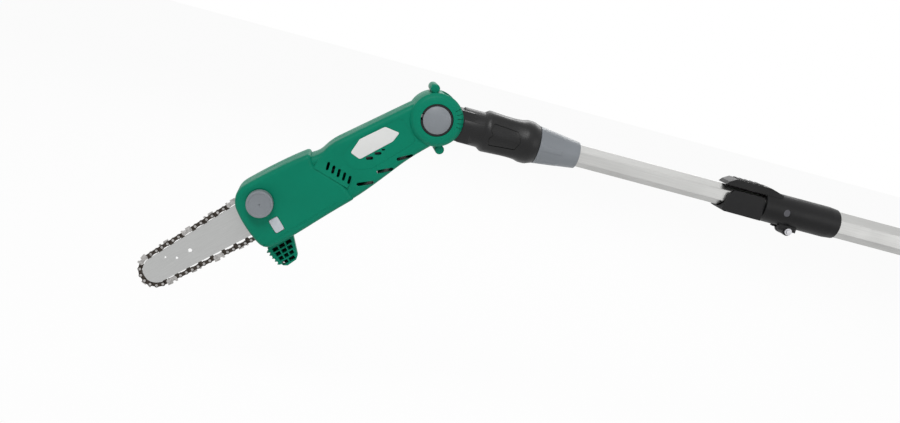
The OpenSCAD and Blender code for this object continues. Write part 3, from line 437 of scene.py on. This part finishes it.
left_cuts = [slot_prism(a, b, 4.0, -10, -40) for a, b in VENT_FACE]
left_cuts += [slot_prism(a, b, 5.0, -6, -40) for a, b in LOW_VENTS]
left_cuts += [slot_prism(a, b, w, -6, -40) for a, b, w in HIGH_VENTS]
CAP_AT, CAP_R, CAP_H = (269.5, 22.5), 19.0, 14.0
WINDOW_AT, WINDOW_SIZE = (266, -16.5), (14, 21)
LABEL_SIDE = [(53.4, 10), (67, 4.1), (119.5, 5.4), (125.9, 19.7), (105.4, 29.9), (66.4, 27.3)]
window_corners = [(WINDOW_AT[0] + a * WINDOW_SIZE[0] / 2, WINDOW_AT[1] + b * WINDOW_SIZE[1] / 2)
                  for a, b in ((-1, -1), (1, -1), (1, 1), (-1, 1))]
left_cuts.append(prism(rounded_outline(inset_outline(np.array(LABEL_SIDE), -0.4), 2), -24.2, -40))
left_cuts.append(prism(rounded_outline(inset_outline(np.array(window_corners), -0.5), 3), -20, -40))
NECK_HOLE_R, SEAT_Y = 12.4, -28.4
cap_seat = [(-20, NECK_HOLE_R), (SEAT_Y, NECK_HOLE_R), (SEAT_Y - 0.01, CAP_R + 1.2), (-40, CAP_R + 1.2)]
left_cuts.append(lathe(cap_seat, across_head(*CAP_AT), 96))
GRADUATIONS = np.radians(np.linspace(185, 230, 5))
for angle in GRADUATIONS:
    arm = np.array([math.cos(angle), math.sin(angle)])
    side = np.array([-arm[1], arm[0]])
    rings = []
    for r, y in ((28.5, -29.0), (32.6, -28.6), (38.2, -23.4)):
        spots = r * arm + 0.6 * np.outer((-1, 1, 1, -1), side)
        rings.append(head_point(spots[:, 0], np.array([y, y, -40, -40]), spots[:, 1]))
    left_cuts.append(grid_solid(np.array(rings)))
ridge = slot_prism((178, -30.5), (297, -34), 1.1, -27, -29.35)
left_shell = carve(head_half(-1), joins=[ridge], cuts=left_cuts)
piece("housing_left_shell", left_shell, green, "head", ["housing_left"])


# ------------------------------------------------------- far half and cover
# The far shell carries the bar. Its front part is a separate cover over the
# drive sprocket, held by one large knob on a bar stud.
COVER_FROM, FLOOR_Y = 200.0, 5.0
KNOB_AT = (276, 6)
STUD_US = (276, 296)
cover_gap = prism([(COVER_FROM, -90), (400, -90), (400, 90), (COVER_FROM, 90)], FLOOR_Y, 40)
SCREW_HOLE_R, STUD_HOLE_R, KNOB_SEAT_R, SHAFT_HOLE_R, SHAFT_AT = 3.6, 4.1, 18.4, 13.5, (236, 6)
screw_holes = [lathe([(20, SCREW_HOLE_R), (40, SCREW_HOLE_R)], across_head(u, v), 32)
               for u, v in ((100, 33), (110, -28), (190, 38), (190, -32))]
right_vents = [slot_prism(a, b, 5.0, 6, 40) for a, b in LOW_VENTS]
right_vents += [slot_prism(a, b, w, 6, 40) for a, b, w in HIGH_VENTS]
far_stud_holes = [lathe([(-1, STUD_HOLE_R), (40, STUD_HOLE_R)], across_head(u, KNOB_AT[1]), 32)
                  for u in STUD_US]
shaft_hole = lathe([(-1, SHAFT_HOLE_R), (40, SHAFT_HOLE_R)], across_head(*SHAFT_AT), 64)
bar_floor = rounded_outline(inset_outline(np.array(TANK_SIDE, float), 1.5), 6)
far_half = carve(head_half(1), joins=[prism(bar_floor, 2.4, FLOOR_Y)])
far_half = carve(far_half, cuts=[cover_gap, *screw_holes, *right_vents, *far_stud_holes, shaft_hole])
piece("housing_right_shell", far_half, green, "head", ["housing_right"])

cover = pillow(TANK_SIDE, TANK_R, FLOOR_Y + 0.3, TANK_Y, EDGE, head_point)
inside = pillow(TANK_SIDE, TANK_R, 1, TANK_Y - WALL, EDGE - 2, head_point, less=WALL, seam=0.0)
behind = prism([(100, -90), (COVER_FROM + 0.5, -90), (COVER_FROM + 0.5, 90), (100, 90)], -1, 40)
knob_seat = lathe([(TANK_Y - 0.8, KNOB_SEAT_R), (40, KNOB_SEAT_R)], across_head(*KNOB_AT), 96)
knob_hole = lathe([(0, 4.3), (40, 4.3)], across_head(*KNOB_AT), 32)
BAR_MOUTH_HALF = 27
mouth_low, mouth_high = KNOB_AT[1] - BAR_MOUTH_HALF, KNOB_AT[1] + BAR_MOUTH_HALF
bar_mouth = prism([(290, mouth_low), (330, mouth_low), (330, mouth_high), (290, mouth_high)], 0, 16.6)
cover_ribs = [slot_prism((213, v), (246, v), 1.6, TANK_Y - 0.5, 40)
              for v in (-24, -14, -4, 6, 16, 26, 36)]
cover = carve(cover, cuts=[inside, behind, knob_seat, knob_hole, bar_mouth] + cover_ribs)
piece("sprocket_cover_shell", cover, green, "head", ["sprocket_cover"])


def soft_rim(y0, y1, r, rim, steps=6):
    """Profile of a disc from y0 to y1 with both rims rounded by a quarter circle."""
    turn = np.linspace(0, math.pi / 2, steps)
    way = 1 if y1 > y0 else -1
    along, inward = way * rim * (1 - np.sin(turn)), rim * (1 - np.cos(turn))
    first = np.stack([y0 + along, r - inward], axis=1)[::-1]
    last = np.stack([y1 - along, r - inward], axis=1)
    return np.concatenate([first, last])


def knob_grip(along, angle):
    """Eight shallow finger scallops round a knob, the same depth from rim to rim."""
    return -SCALLOP_DEEP * np.maximum(np.cos(SCALLOPS * angle), 0) ** 2


black = moulded_plastic("black_nylon", (0.0085, 0.0085, 0.009), 0.36, 0.3, 0.0006, 0.2, 0.3)
SCALLOPS, SCALLOP_DEEP = 8, 0.9
KNOB_R, KNOB_FACE = 17, TANK_Y + 13.2
knob_rim = soft_rim(TANK_Y + 0.3, KNOB_FACE + 0.5, KNOB_R, 1.8)
knob_rows = np.concatenate([knob_rim, [(KNOB_FACE, 11), (KNOB_FACE, 1)]])
knob = lathe(knob_rows, across_head(*KNOB_AT), 128, knob_grip)
grip_corners = [(KNOB_AT[0] + a * 3, KNOB_AT[1] + b * 13)
                for a, b in ((-1, -1), (1, -1), (1, 1), (-1, 1))]
knob_bar = prism(rounded_outline(grip_corners, 2.5), TANK_Y + 12, TANK_Y + 13.9)
knob = carve(knob, joins=[knob_bar])
piece("cover_knob_cap", knob, black, "cover_knob", ["cover_knob"])


# ------------------------------------------------------------ drive and motor
# Inside are the motor, its bearings and fan, the crown gear pair and the oil
# system. Little of it shows, through the vents and past the bar.


def finish(material, *names):
    """Gives CAD nodes their finish."""
    for name in names:
        mesh = frame["nodes"][name].data
        mesh.materials.clear()
        mesh.materials.append(material)


def plain_metal(name, colour, roughness, metallic=1.0, streak=(1, 1, 1), turned=0.0, scale=180, tone=0.1,
                bump=0.05):
    """Worked metal: fine marks stretched along one direction drive its tone, roughness and bump."""
    mat, nodes, links, shader = new_material(name)
    coords = nodes.new("ShaderNodeTexCoord")
    mapping = nodes.new("ShaderNodeMapping")
    mapping.vector_type = "TEXTURE"
    mapping.inputs["Rotation"].default_value = (0, math.radians(turned), 0)
    mapping.inputs["Scale"].default_value = streak
    marks = nodes.new("ShaderNodeTexNoise")
    marks.inputs["Scale"].default_value = scale
    marks.inputs["Detail"].default_value = 4
    links.new(coords.outputs["Object"], mapping.inputs["Vector"])
    links.new(mapping.outputs[0], marks.inputs["Vector"])
    fac = marks.outputs["Fac"]
    dark = [c * (1 - tone) for c in colour]
    light = [min(1, c * (1 + tone)) for c in colour]
    links.new(ramp(nodes, links, fac, dark, light), shader.inputs["Base Color"])
    rough = ramp(nodes, links, noise_height(nodes, links, 30, 4), roughness - 0.05, roughness + 0.08)
    links.new(rough, shader.inputs["Roughness"])
    height = nodes.new("ShaderNodeBump")
    height.inputs["Strength"].default_value = bump
    height.inputs["Distance"].default_value = 0.0002
    links.new(fac, height.inputs["Height"])
    links.new(height.outputs[0], shader.inputs["Normal"])
    shader.inputs["Metallic"].default_value = metallic
    return mat


machined = plain_metal("machined_steel_turned", (0.36, 0.36, 0.37), 0.34)
zinc = plain_metal("zinc_plate", (0.5, 0.5, 0.52), 0.3, tone=0.18)
core = plain_metal("lacquered_core", (0.08, 0.08, 0.09), 0.5, metallic=0.6, streak=(1, 0.02, 1), scale=40)
copper = plain_metal("copper_bars", (0.48, 0.2, 0.08), 0.35, tone=0.2)
brass = plain_metal("plain_brass", (0.58, 0.4, 0.13), 0.35)
milky = moulded_plastic("milky_tank", (0.75, 0.73, 0.66), 0.45, 0.1)
lead_skin = moulded_plastic("lead_skin", (0.016, 0.016, 0.016), 0.55, 0.35, 0.0005, 0.15)
finish(machined, "output_shaft", "output_gear", "drive_sprocket", "motor_pinion")
finish(machined, "output_bearings", "motor_bearings", "oil_pump")
finish(core, "field_core", "armature")
finish(copper, "commutator")
finish(brass, "brush_gear")
finish(black, "cooling_fan")
finish(milky, "oil_tank", "oil_tube")
finish(zinc, "housing_screws", "bar_studs", "tension_screw", "tension_pin")

# ------------------------------------------------------------- bar and chain
# The guide bar is ground steel with a satin finish. The chain's links are
# dark oiled steel, with brighter plated cutters and rivet heads.
bar_satin = plain_metal("ground_bar", (0.5, 0.505, 0.5), 0.42, streak=(30, 1, 1), turned=-45, scale=1500,
                        tone=0.05, bump=0.06)
chain_dark = plain_metal("oiled_chain", (0.052, 0.043, 0.036), 0.42, metallic=0.85, scale=420, tone=0.45,
                         bump=0.2)
cutter_bright = plain_metal("plated_cutters", (0.42, 0.41, 0.4), 0.28, scale=260, tone=0.3, bump=0.1)
finish(bar_satin, "guide_bar")
finish(chain_dark, "chain_drive_links", "chain_tie_straps")
finish(cutter_bright, "chain_cutters", "chain_rivets")

# ------------------------------------------- limb stop, label, window, oil cap
# The limb stop is an open moulded grid screwed under the head, with a near-black
# sheet behind it as painted shade seen through its openings. The label is a
# bare plate let into the shell, and the window shows the oil's level.
grey = moulded_plastic("grey_nylon", (0.215, 0.232, 0.252), 0.4, 0.14, gloss=0.35)
# A near-black matte finish, used only for painted shade.
painted_shade_black = moulded_plastic("painted_shade_inside", (0.004, 0.004, 0.004), 0.8, 0.1)
finish(green, "limb_stop")
STOP_SIDE = [(258.5, -44.5), (268, -73), (272, -76.3), (285.5, -77.6), (289.6, -75), (293.6, -68),
             (296.6, -57), (296.6, -44.5)]
# Painted shade: a near-black sheet in the middle plane behind the limb stop's open grid, standing for the
# shade seen through its openings.
stop_painted_shade = pillow(STOP_SIDE, [2] * 8, 0.6, 2.7, 0.4, head_point, seam=0.0, arc=3)
piece("limb_stop_painted_shade", stop_painted_shade, painted_shade_black, "head")
label_white = moulded_plastic("label_white", (0.74, 0.745, 0.735), 0.34, 0.03, worn=0.02)
window_white = moulded_plastic("window_white", (0.52, 0.56, 0.6), 0.22, 0.04, worn=0.04)
label_plate = pillow(LABEL_SIDE, [2.5] * 6, -24.3, -25.25, 0.35, head_point, seam=0.0, arc=4)
piece("label_face", label_plate, label_white, "head", ["label_plate"])
window_plate = pillow(window_corners, [3] * 4, -26.6, -29.3, 0.9, head_point, seam=0.0, arc=5)
piece("oil_window_pane", window_plate, window_white, "head", ["oil_window"])


def cap_grip(along, angle):
    """Fine grip ribs round the oil cap."""
    return -CAP_RIB_DEEP * (0.5 + 0.5 * np.cos(CAP_RIBS * angle))


CAP_RIBS, CAP_RIB_DEEP = 60, 0.22
cap_face = -(TANK_Y + CAP_H)
cap_profile = np.concatenate([
    soft_rim(-TANK_Y - 0.5, cap_face, CAP_R, 1.1),
    [(cap_face, CAP_R - 3.2), (cap_face + 0.5, CAP_R - 3.7), (cap_face + 0.5, 1.2), (cap_face + 1.4, 1.1),
     (cap_face + 1.4, 0.1)],
])
oil_cap = lathe(cap_profile, across_head(*CAP_AT), 240, cap_grip)
piece("oil_cap_top", oil_cap, grey, "oil_cap", ["oil_cap"])

# ------------------------------------------------------------- neck and hinge
# The black neck's two halves are screwed round the pole's top. Its hub turns
# between the ring's cheeks, and a domed grey button frees the tilt lock.


def pole_point(w, y, n):
    """Row frame place of a point w behind the hinge along the pole, y across and n above, in mm."""
    w, y, n = np.broadcast_arrays(np.asarray(w, float), y, n)
    return np.stack([w, y, n], axis=-1) * MM + np.array(hinge)


def across_pole(w0, n0):
    """Placing for a lathe whose axis runs across the pole at w0, n0."""
    return lambda along, a, b: pole_point(w0 + a, along, n0 + b)


def along_pole(along, a, b):
    """Placing for a lathe whose axis is the pole's."""
    return pole_point(along, a, b)


HUB_R, HUB_HALF, JOURNAL_R, POCKET_R, POCKET_Y = 32.5, 23.4, 22.72, 19.9, 8.0
hub_profile = [(POCKET_Y, 0.5), (POCKET_Y, POCKET_R), (29, POCKET_R), (29, JOURNAL_R - 0.5),
               (28.5, JOURNAL_R), (HUB_HALF, JOURNAL_R), (HUB_HALF, HUB_R)]
hub_profile = [(-y, r) for y, r in hub_profile] + hub_profile[::-1]
hub = lathe(hub_profile, across_pole(0, 0), 128)


def neck_swell(along, angle):
    """Grip facets of the sleeve: six broad flats that come and go along it."""
    middle = np.clip((along - 74) / 6, 0, 1) * np.clip((124 - along) / 6, 0, 1)
    return middle * 0.9 * np.cos(6 * angle)


sleeve_rows = [(38.1, 20), (38.1, 25.2), (38.6, 25.5), (67, 25.5), (70, 27.6), (73, 29.6), (76, 30),
               (88, 29.3), (100, 28.6), (112, 28.4), (122, 28.9), (127, 30), (129, 30.8), (131, 31),
               (137, 31), (139.5, 30.6), (144, 28.6), (147.6, 27.3), (148, 26.9), (148, 21), (176, 21),
               (176.6, 20.4)]
neck_body = lathe([(w, r - 0.3 if r > 30 else r) for w, r in sleeve_rows], along_pole, 144, neck_swell)


def pole_loft(*stations):
    """A solid whose section at each station along the pole is given as (w, [y, ...], [n, ...])."""
    return grid_solid(np.array([pole_point(w, np.array(y), np.array(n)) for w, y, n in stations]))


def hex_room(corner_r, w0, w1):
    """Six-sided room for a tube with this corner radius, its corners at top and bottom."""
    turn = np.radians(np.arange(0, 360, 60))
    return pole_loft(*((w, corner_r * np.sin(turn), corner_r * np.cos(turn)) for w in (w0, w1)))


def half_room(side, w0, w1, seam=0.06):
    """All on the far side of the middle plane from side, and a seam's width of the near side."""
    depth = -side * np.array([-seam, 90, 90, -seam])
    return pole_loft(*((w, depth, (-90, -90, 90, 90)) for w in (w0, w1)))


INNER_BORE_R, SCREW_SEAT_R = 16.3, 3.7
BLOCK = ((4, HUB_HALF, 22), (50, HUB_HALF, 22), (66, 16, 14))
block = pole_loft(*((w, (-y, y, y, -y), (-n, -n, n, n)) for w, y, n in BLOCK))
tube_room = hex_room(INNER_BORE_R, 104, 190)
arm_room = pole_loft(*((w, (-60, -11.5, -11.5, -60), (-5, -5, 5, 5)) for w in (-31.5, -14)))
LOZENGE = [(79, -16), (116, -13), (121, 0), (116, 13), (79, 16), (75.5, 6), (80, 0), (75.5, -6)]
GROOVE_W, GROOVE_DEEP = 1.1, 0.8
grip_cuts = []
for side in (-1, 1):
    outer = rounded_outline(LOZENGE, 2)
    inner = rounded_outline(inset_outline(np.array(LOZENGE, float), GROOVE_W), 1.6)
    sleeve_core = [(w, r - GROOVE_DEEP) for w, r in sleeve_rows[3:13]]
    core_body = lathe(sleeve_core, along_pole, 144, neck_swell)
    grip_cuts.append(carve(prism(outer, side * 10, side * 40, pole_point),
                           cuts=[prism(inner, side * 5, side * 45, pole_point), core_body]))
grip_cuts += [lathe([(12, SCREW_SEAT_R), (50, SCREW_SEAT_R)], across_pole(w, n), 32)
              for w, n in ((56, 17), (56, -17), (84, 22), (84, -22), (138, 22.5), (138, -22.5))]
neck_whole = carve(neck_body, joins=[hub, block], cuts=[tube_room, arm_room] + grip_cuts)
for side, name in ((-1, "left"), (1, "right")):
    half = carve(neck_whole.copy(), cuts=[half_room(side, -100, 300)])
    piece("neck_%s_shell" % name, half, black, "inner_pole", ["neck_" + name])
bpy.data.meshes.remove(neck_whole)

BUTTON_R, BUTTON_Y, DOME_RISE, DOME_R = 19.5, 29.5, 5.0, 45.0
dome = np.linspace(0, 1, 22)
dome_r = (BUTTON_R - 0.7) * (1 - dome) + 0.05
dome_y = BUTTON_Y + DOME_RISE - DOME_R + np.sqrt(DOME_R**2 - dome_r**2)
BUTTON_BACK = BUTTON_Y - 6.5
button_rows = [(-BUTTON_BACK, 12), (-BUTTON_BACK, BUTTON_R), (-(dome_y[0] - 0.5), BUTTON_R)]
button_rows.append((-(dome_y[0] - 0.1), BUTTON_R - 0.2))
button_rows += list(zip(-dome_y, dome_r))
button = lathe(button_rows, across_pole(0, 0), 128)
piece("tilt_button_dome", button, grey, "tilt_button", ["tilt_button"])
cap_rows = [(21, 12), (21, BUTTON_R), (30, BUTTON_R), (30.4, BUTTON_R - 0.6), (30.4, BUTTON_R - 4),
            (29.6, BUTTON_R - 4.8), (29.6, 0.1)]
far_cap = lathe(cap_rows, across_pole(0, 0), 128)
piece("hinge_far_cap", far_cap, grey, "inner_pole", ["hinge_cap"])
finish(zinc, "neck_screws", "tilt_spring")
finish(machined, "tilt_lock_pin")

# ---------------------------------------------------------- collar and tubes
# A tapered grey collar locks the neck to the pole. Both poles are drawn
# six-sided aluminium tube with a satin skin, the thinner inside the thicker.
COLLAR_FROM, COLLAR_L, COLLAR_R, COLLAR_TAPER = 149.0, 60.0, 27.0, 8.0


def collar_swell(along, angle):
    """Six raised grips with soft ends, each a narrow bump round the collar."""
    span = np.clip((along - 152) / 2, 0, 1) * np.clip((184 - along) / 2, 0, 1)
    turn = np.mod(angle + math.pi / 6, math.pi / 3) - math.pi / 6
    width = 4.4 / (COLLAR_R - COLLAR_TAPER * (along - COLLAR_FROM) / COLLAR_L)
    return span * 0.8 * np.clip((width - np.abs(turn)) / 0.045, 0, 1)


rows = [(COLLAR_FROM, 21.2), (COLLAR_FROM, 26.7)]
rows += [(w, COLLAR_R - COLLAR_TAPER * (w - COLLAR_FROM) / COLLAR_L - 0.02)
         for w in np.linspace(149.4, 208.4, 60)]
rows += [(208.8, 18.8), (209, 18.3), (209, 16.8), (176, 16.8)]
collar_mesh = lathe(rows, along_pole, 240, collar_swell)
SLEEVE_BORE_R, TUBE_BORE_R = 21.1, 16.75
collar_mesh = carve(collar_mesh, cuts=[
    lathe([(148, SLEEVE_BORE_R), (180, SLEEVE_BORE_R)], along_pole, 96),
    lathe([(140, TUBE_BORE_R), (215, TUBE_BORE_R)], along_pole, 96),
])
piece("lock_collar_shell", collar_mesh, grey, "lock_collar", ["lock_collar"])
tube_skin = plain_metal("drawn_tube", (0.5, 0.5, 0.49), 0.42, streak=(60, 1, 1), scale=1200, tone=0.06,
                        bump=0.06)
finish(tube_skin, "inner_tube", "outer_tube")
finish(black, "inner_tube_bush")
finish(lead_skin, "inner_lead", "coiled_lead")

# -------------------------------------------------------------- tube clamp
# The black clamp is pressed on the outer tube. Its lever pulls a ridged
# tongue down on the inner tube, round one cross bolt.
clamp_black = moulded_plastic("clamp_nylon", (0.0065, 0.0065, 0.007), 0.42, 0.3, 0.0006, 0.2, 0.22)
finish(clamp_black, "clamp_body", "clamp_lever", "strap_ring")
finish(zinc, "clamp_bolt")
finish(core, "clamp_screw")

# ------------------------------------------------ foam grip and rear handle
# A foam sleeve is pushed on the outer tube. The rear handle's two shells hold
# the switch, its trigger, a lock-off button and the mains inlet.
foam = moulded_plastic("closed_cell_foam", (0.02, 0.02, 0.021), 0.8, 0.9, 0.0012, 0.25)
low, high = (Vector(c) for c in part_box("foam_grip"))
FOAM_R = 24.0
foam_from, foam_to = (low.x - hinge.x) / MM, (high.x - hinge.x) / MM
t = np.linspace(0, 1, 61)
rim = np.minimum(1, np.sqrt(np.clip(1 - (1 - np.clip(np.minimum(t, 1 - t) * 30, 0, 1)) ** 2, 0, 1)))
RIPPLES, RIM_DROP = 15, 2.6
foam_out = FOAM_R - 1.0 - RIM_DROP * (1 - rim) + 0.5 * np.cos(2 * math.pi * t * RIPPLES)
foam_rows = np.stack([foam_from + (foam_to - foam_from) * t, foam_out], axis=1)
foam_rows = np.concatenate([[(foam_from + 0.2, 17.6)], foam_rows, [(foam_to - 0.2, 17.6)]])
FOAM_BORE_R = 19.7
foam_bore = hex_room(FOAM_BORE_R, foam_from - 5, foam_to + 5)
foam_mesh = carve(lathe(foam_rows, along_pole, 96), cuts=[foam_bore])
piece("foam_sleeve", foam_mesh, foam, "outer_pole", ["foam_grip"])

HANDLE_FROM, HANDLE_HALF = 1107.0, 19.0
HANDLE_SIDE = [(0, -23.5), (44, -25), (70, -21.5), (86, -28), (97, -29), (108, -21), (150, -19),
               (214, -21), (240, -34), (268, -38), (286, -28), (290, -6), (286, 18), (262, 27),
               (216, 20.5), (140, 19), (84, 20.5), (44, 26), (0, 24)]
HANDLE_R = [1, 12, 12, 8, 6, 12, 20, 16, 12, 14, 12, 12, 12, 16, 20, 30, 20, 12, 1]
handle_corners = [(HANDLE_FROM + w, n) for w, n in HANDLE_SIDE]
HANDLE_SCREWS = [(28, 21), (28, -21), (205, 12), (250, -29)]
HANDLE_WALL, LOCK_HOLE_R, TRIGGER_HALF = 2.4, 6.3, 6.4
HEX_BORE_R, ROUND_BORE_R = 19.8, 19.9
INLET_DROP, LOCK_AT = 6, 72
INLET_MOUTH = [(HANDLE_FROM + 266, 14.7), (HANDLE_FROM + 320, 14.7)]
FRONT_COLLAR = [(0, 24.7), (0.8, 25.5), (44, 25.5), (48, 23)]


def inlet_axis(w, a, b):
    """Placing for the inlet's mouth, whose axis is a little under the pole's."""
    return pole_point(w, a, b - INLET_DROP)


def lock_axis(n, a, b):
    """Placing for the lock-off button's hole, whose axis stands upright."""
    return pole_point(HANDLE_FROM + LOCK_AT + a, b, n)


for side, name in ((-1, "left"), (1, "right")):
    shell = pillow(handle_corners, HANDLE_R, side * 0.1, side * HANDLE_HALF, 7.5, pole_point)
    cuts = [pillow(handle_corners, HANDLE_R, -side, side * (HANDLE_HALF - HANDLE_WALL), 6, pole_point,
                   less=HANDLE_WALL, seam=0.0)]
    cuts.append(lathe(INLET_MOUTH, inlet_axis, 64))
    cuts.append(lathe([(0, LOCK_HOLE_R), (60, LOCK_HOLE_R)], lock_axis, 48))
    slot_sides = TRIGGER_HALF * np.array([-1, 1, 1, -1])
    cuts.append(pole_loft(*((HANDLE_FROM + w, slot_sides, (-50, -50, -6, -6)) for w in (109, 156))))
    if side > 0:
        cuts += [lathe([(13, SCREW_SEAT_R), (50, SCREW_SEAT_R)], across_pole(HANDLE_FROM + w, n), 32)
                 for w, n in HANDLE_SCREWS]
    cuts.append(lathe([(HANDLE_FROM + w, ROUND_BORE_R) for w in (-5, 40)], along_pole, 96))
    shell = carve(shell, cuts=cuts)
    front = lathe([(HANDLE_FROM + w, r) for w, r in FRONT_COLLAR], along_pole, 96)
    front = carve(front, cuts=[hex_room(HEX_BORE_R, HANDLE_FROM - 5, HANDLE_FROM + 60)])
    half = carve(shell, joins=[front], cuts=[half_room(side, HANDLE_FROM - 50, HANDLE_FROM + 400)])
    piece("handle_%s_shell" % name, half, black, "outer_pole", ["handle_" + name])
finish(black, "lock_off_button", "trigger", "switch", "cord_inlet")
finish(zinc, "handle_screws", "trigger_spring")
finish(brass, "inlet_blades")
